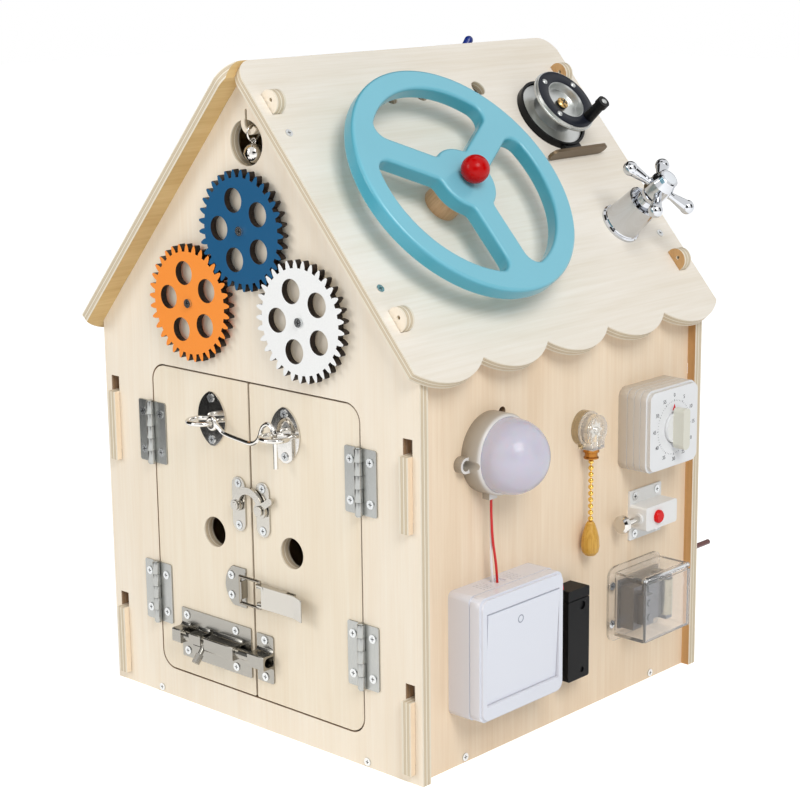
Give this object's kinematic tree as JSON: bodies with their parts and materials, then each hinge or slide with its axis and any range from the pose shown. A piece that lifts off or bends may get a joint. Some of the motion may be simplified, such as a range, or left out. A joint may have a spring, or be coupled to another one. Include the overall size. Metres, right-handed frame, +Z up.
{
  "type": "wooden busy board house",
  "caption": "House-shaped wooden busy board with latched double doors, meshed gears, a bell, roof toys and a wall of switches, dials and small catches.",
  "frame": {"origin": "middle of the floor panel's underside, on the surface that the house stands on", "axes": "+Z up, front gable with the doors faces -Y, wall with the switches faces +X"},
  "size_m": [0.3608, 0.3664, 0.4691],
  "materials": {
    "birch_shell": "satin, pale birch plywood",
    "birch_roof": "satin, pale birch plywood",
    "birch_door": "satin, pale birch plywood",
    "beech_post": "satin",
    "zinc_steel": "satin",
    "polished_steel": "polished",
    "tap_chrome": "mirror",
    "gear_blue": "painted satin",
    "gear_orange": "painted satin",
    "gear_white": "painted satin",
    "wheel_blue": "satin",
    "ball_red": "glossy",
    "reel_black": "matt",
    "reel_silver": "satin",
    "lamp_white": "satin",
    "lamp_dome": "frosted gloss",
    "switch_white": "glossy",
    "battery_black": "fine matt",
    "clear_plastic": "clear glossy",
    "brass": "polished",
    "timer_white": "satin",
    "latch_white": "satin",
    "button_red": "glossy",
    "movement_metal": "plain metal",
    "drum_brass": "satin",
    "lead_plastic": "glossy",
    "dowel_paint": "painted gloss"
  },
  "bodies": {
    "house": {"front_gable": "birch_shell", "back_gable": "birch_shell", "right_wall": "birch_shell", "left_wall": "birch_shell", "floor_panel": "birch_shell", "roof_right": "birch_roof", "roof_left": "birch_roof", "fixings_house": "zinc_steel", "hinge_leaves_frame": "zinc_steel", "gear_axles": "polished_steel", "steering_post": "beech_post", "steering_ball": "ball_red", "reel_frame": "reel_black", "tap_sleeve": "tap_chrome", "lamp_base": "lamp_white", "lamp_dome": "lamp_dome", "switch_box": "switch_white", "battery_box": "battery_black", "pull_body": "clear_plastic", "timer_case": "timer_white", "latch_body": "latch_white", "music_case": "clear_plastic", "music_movement": "movement_metal", "lamp_leads": "lead_plastic", "battery_leads": "lead_plastic", "dowels": "dowel_paint"},
    "left_door": {"left_door": "birch_door", "hinge_leaves_left": "zinc_steel", "fixings_left": "zinc_steel", "eye_plate_left": "polished_steel", "horn_plate_left": "polished_steel", "toggle_strike": "polished_steel", "bolt_plate": "zinc_steel"},
    "right_door": {"right_door": "birch_door", "hinge_leaves_right": "zinc_steel", "fixings_right": "zinc_steel", "eye_plate_right": "polished_steel", "horn_catch": "polished_steel", "toggle_base": "polished_steel", "bolt_keeper": "zinc_steel"},
    "cabin_hook": {"cabin_hook": "polished_steel"},
    "horn_arm": {"horn_arm": "polished_steel"},
    "bolt_rod": {"bolt_rod": "polished_steel"},
    "toggle_lever": {"toggle_lever": "polished_steel"},
    "toggle_bail": {"toggle_bail": "brass"},
    "gear_blue": {"gear_blue": "gear_blue"},
    "gear_orange": {"gear_orange": "gear_orange"},
    "gear_white": {"gear_white": "gear_white"},
    "bell": {"bell": "polished_steel"},
    "steering_wheel": {"steering_wheel": "wheel_blue"},
    "reel_spool": {"reel_spool": "reel_silver"},
    "reel_knob": {"reel_knob": "reel_black"},
    "tap_handle": {"tap_handle": "tap_chrome"},
    "switch_rocker": {"switch_rocker": "switch_white"},
    "pull_chain": {"pull_chain": "brass"},
    "timer_knob": {"timer_knob": "timer_white"},
    "latch_rod": {"latch_rod": "polished_steel"},
    "latch_button": {"latch_button": "button_red"},
    "music_lid": {"music_lid": "clear_plastic"},
    "music_drum": {"music_drum": "drum_brass"}
  },
  "joints": [
    {"name": "left_door_hinge", "type": "hinge", "parent": "house", "child": "left_door", "pos_m": [-0.1034, -0.15695, 0.139], "axis": [0, 0, -1], "range_deg": [0, 104]},
    {"name": "right_door_hinge", "type": "hinge", "parent": "house", "child": "right_door", "pos_m": [0.1034, -0.15695, 0.139], "axis": [0, 0, 1], "range_deg": [0, 104]},
    {"name": "cabin_hook_swing", "type": "hinge", "parent": "left_door", "child": "cabin_hook", "pos_m": [-0.0295, -0.164, 0.2185], "axis": [0, -1, 0], "range_deg": [0, 22]},
    {"name": "horn_arm_swing", "type": "hinge", "parent": "left_door", "child": "horn_arm", "pos_m": [-0.0142, -0.1575, 0.1618], "axis": [0, -1, 0], "range_deg": [0, 95]},
    {"name": "bolt_slide", "type": "slide", "parent": "left_door", "child": "bolt_rod", "axis": [-1, 0, 0], "range_m": [0, 0.016]},
    {"name": "toggle_lever_swing", "type": "hinge", "parent": "right_door", "child": "toggle_lever", "pos_m": [0.008, -0.1584, 0.101], "axis": [0, 0, -1], "range_deg": [0, 100]},
    {"name": "toggle_bail_swing", "type": "hinge", "parent": "right_door", "child": "toggle_bail", "pos_m": [0.008, -0.1584, 0.101], "axis": [0, 0, 1], "range_deg": [0, 90]},
    {"name": "gear_blue_spin", "type": "hinge", "parent": "house", "child": "gear_blue", "pos_m": [0.0018, -0.15866, 0.3542], "axis": [0, -1, 0], "continuous": true},
    {"name": "gear_orange_spin", "type": "hinge", "parent": "house", "child": "gear_orange", "pos_m": [-0.05242, -0.15866, 0.29922], "axis": [0, -1, 0], "continuous": true},
    {"name": "gear_white_spin", "type": "hinge", "parent": "house", "child": "gear_white", "pos_m": [0.05602, -0.15866, 0.29922], "axis": [0, -1, 0], "continuous": true},
    {"name": "bell_swing", "type": "hinge", "parent": "house", "child": "bell", "pos_m": [0.0056, -0.15, 0.41863], "axis": [1, 0, 0], "range_deg": [-30, 30]},
    {"name": "steering_spin", "type": "hinge", "parent": "house", "child": "steering_wheel", "pos_m": [0.10344, -0.054, 0.38316], "axis": [0.7604, 0, 0.6494], "continuous": true},
    {"name": "reel_spin", "type": "hinge", "parent": "house", "child": "reel_spool", "pos_m": [0.05556, 0.109, 0.4192], "axis": [0.7604, 0, 0.6494], "continuous": true},
    {"name": "reel_knob_spin", "type": "hinge", "parent": "reel_spool", "child": "reel_knob", "pos_m": [0.08055, 0.12074, 0.41765], "axis": [0.7604, 0, 0.6494], "continuous": true},
    {"name": "tap_turn", "type": "hinge", "parent": "house", "child": "tap_handle", "pos_m": [0.14017, 0.113, 0.36325], "axis": [0.7604, 0, 0.6494], "range_deg": [0, 180]},
    {"name": "rocker_tilt", "type": "hinge", "parent": "house", "child": "switch_rocker", "pos_m": [0.1725, -0.0781, 0.082], "axis": [0, 1, 0], "range_deg": [-6, 0]},
    {"name": "pull_chain_slide", "type": "slide", "parent": "house", "child": "pull_chain", "axis": [0, 0, -1], "range_m": [0, 0.005], "stiffness_N_per_m": 80, "springref_m": -0.006},
    {"name": "timer_turn", "type": "hinge", "parent": "house", "child": "timer_knob", "pos_m": [0.18, 0.092, 0.2], "axis": [-1, 0, 0], "range_deg": [0, 330]},
    {"name": "latch_rod_slide", "type": "slide", "parent": "house", "child": "latch_rod", "axis": [0, 1, 0], "range_m": [0, 0.009]},
    {"name": "latch_button_press", "type": "slide", "parent": "house", "child": "latch_button", "axis": [-1, 0, 0], "range_m": [0, 0.0015], "stiffness_N_per_m": 400, "springref_m": -0.001},
    {"name": "music_lid_hinge", "type": "hinge", "parent": "house", "child": "music_lid", "pos_m": [0.1758, 0.085, 0.0928], "axis": [0, -1, 0], "range_deg": [0, 110]},
    {"name": "music_drum_spin", "type": "hinge", "parent": "house", "child": "music_drum", "pos_m": [0.1635, 0.1015, 0.069], "axis": [0, 0, 1], "continuous": true}
  ],
  "couplings": [
    {"joint": "gear_orange_spin", "follows": "gear_blue_spin", "ratio": -1},
    {"joint": "gear_white_spin", "follows": "gear_blue_spin", "ratio": -1}
  ]
}
